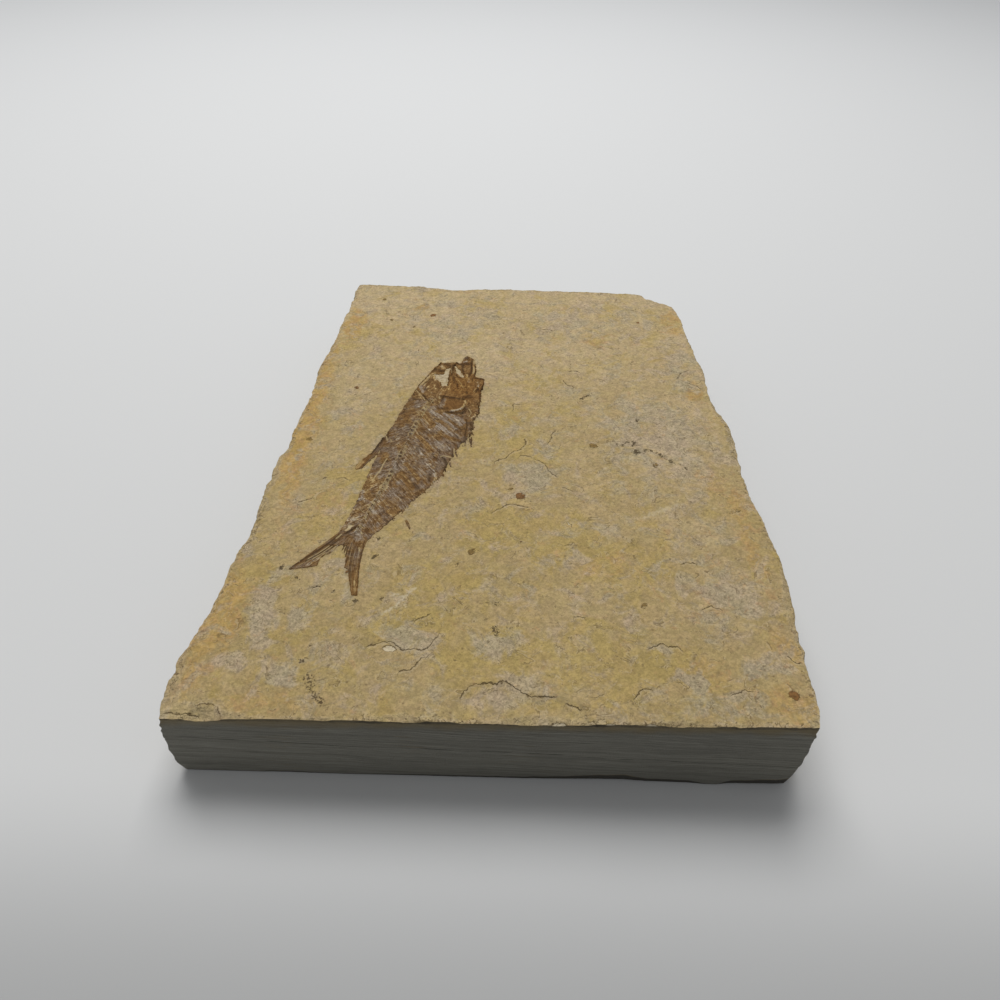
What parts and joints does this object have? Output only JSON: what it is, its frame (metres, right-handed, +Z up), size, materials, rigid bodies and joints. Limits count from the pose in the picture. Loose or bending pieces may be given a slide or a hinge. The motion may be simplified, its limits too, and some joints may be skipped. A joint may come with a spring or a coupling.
{
  "type": "fossil fish in limestone slab",
  "caption": "Flat slab of split limestone, sawn at one end, with a small fossil fish skeleton lying in its top face.",
  "frame": {"origin": "middle of the slab's underside, on the surface that it rests on", "axes": "+Z up out of the top face, +Y along the slab's length away from the sawn end, +X across it to the right"},
  "size_m": [0.1454, 0.1946, 0.0264],
  "materials": {
    "limestone": "split tan limestone, matt and finely grained, mottled ochre and pinkish grey; sawn end dark grey",
    "fossil_bone": "dark brown fossil bone with a purple tint, slightly glossy"
  },
  "bodies": {
    "root": {"limestone_slab": "limestone", "fossil_fish": "fossil_bone", "bone_splinter": "fossil_bone"}
  },
  "joints": []
}
